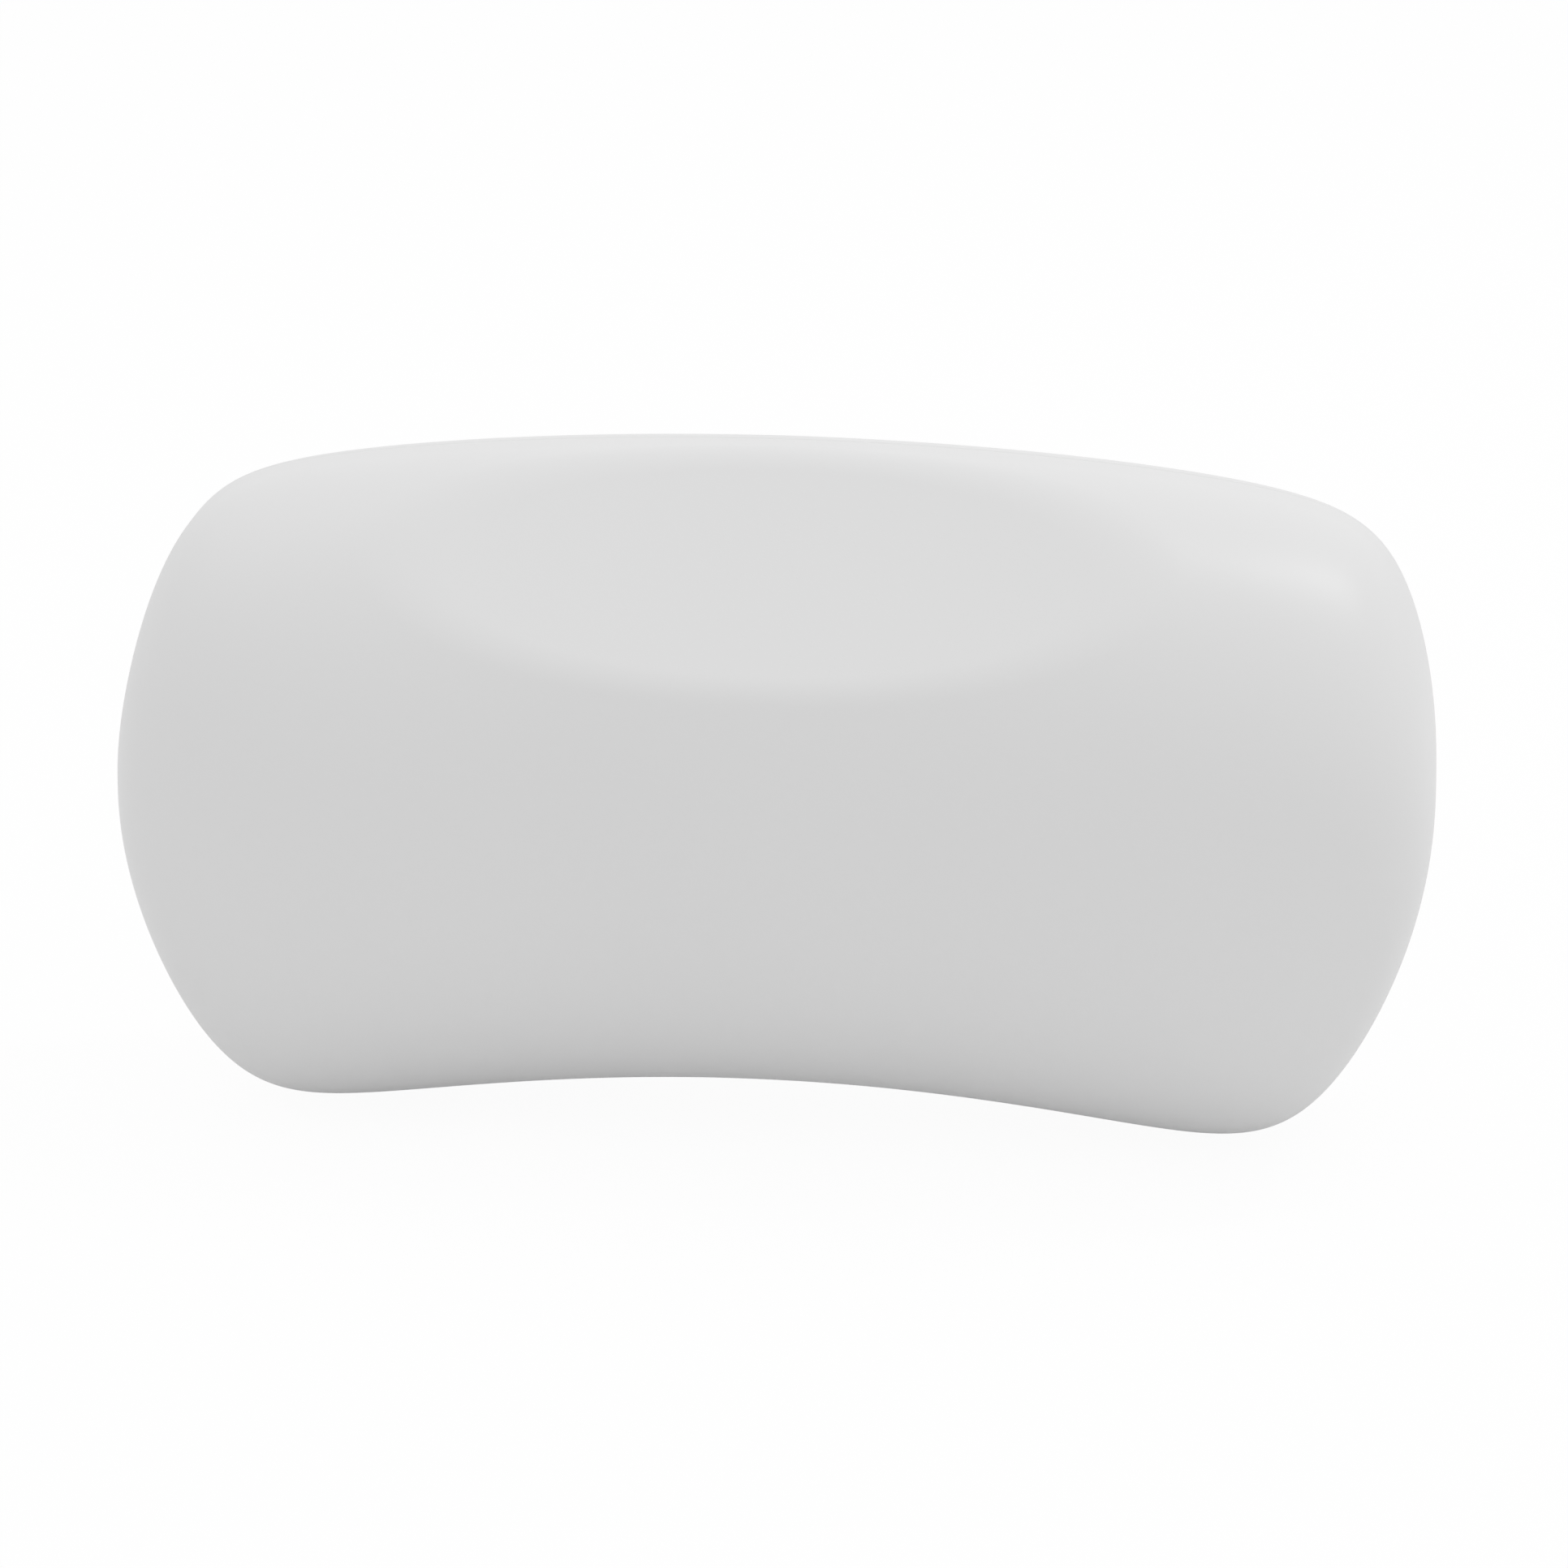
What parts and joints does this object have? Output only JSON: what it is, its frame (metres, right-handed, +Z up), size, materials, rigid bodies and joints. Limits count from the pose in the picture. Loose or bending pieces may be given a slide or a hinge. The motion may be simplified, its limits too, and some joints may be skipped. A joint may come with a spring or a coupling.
{
  "type": "bath pillow",
  "caption": "Sculpted soft bath headrest with a head dish, arched lower edge and flat back on swivelling suction cups.",
  "frame": {"origin": "on the tub wall, level with the middle of the four suction cups, in the plane of their lips", "axes": "+X along the headrest to the bather's view's right, +Y out of the back into the tub wall, +Z up"},
  "size_m": [0.32, 0.0976, 0.1605],
  "materials": {
    "skin": "satin, smooth moulded polyurethane skin",
    "foam": "matte, fine open foam",
    "insert_plastic": "matte moulded plastic",
    "socket_plastic": "satin moulded plastic",
    "cup_rubber": "glossy, milky soft vinyl"
  },
  "bodies": {
    "pillow": {"cushion_skin": "skin", "foam_core": "foam", "stiffener_plate": "insert_plastic", "cup_socket_upper_left": "socket_plastic", "cup_socket_upper_right": "socket_plastic", "cup_socket_lower_left": "socket_plastic", "cup_socket_lower_right": "socket_plastic", "socket_cap_upper_left": "insert_plastic", "socket_cap_upper_right": "insert_plastic", "socket_cap_lower_left": "insert_plastic", "socket_cap_lower_right": "insert_plastic"},
    "upper_left_cup": {"suction_cup_upper_left": "cup_rubber"},
    "upper_right_cup": {"suction_cup_upper_right": "cup_rubber"},
    "lower_left_cup": {"suction_cup_lower_left": "cup_rubber"},
    "lower_right_cup": {"suction_cup_lower_right": "cup_rubber"}
  },
  "joints": [
    {"name": "upper_left_cup_swivel", "type": "hinge", "parent": "pillow", "child": "upper_left_cup", "pos_m": [-0.09, 0, 0.036], "axis": [0, 1, 0], "continuous": true},
    {"name": "upper_right_cup_swivel", "type": "hinge", "parent": "pillow", "child": "upper_right_cup", "pos_m": [0.09, 0, 0.036], "axis": [0, 1, 0], "continuous": true},
    {"name": "lower_left_cup_swivel", "type": "hinge", "parent": "pillow", "child": "lower_left_cup", "pos_m": [-0.09, 0, -0.036], "axis": [0, 1, 0], "continuous": true},
    {"name": "lower_right_cup_swivel", "type": "hinge", "parent": "pillow", "child": "lower_right_cup", "pos_m": [0.09, 0, -0.036], "axis": [0, 1, 0], "continuous": true}
  ]
}
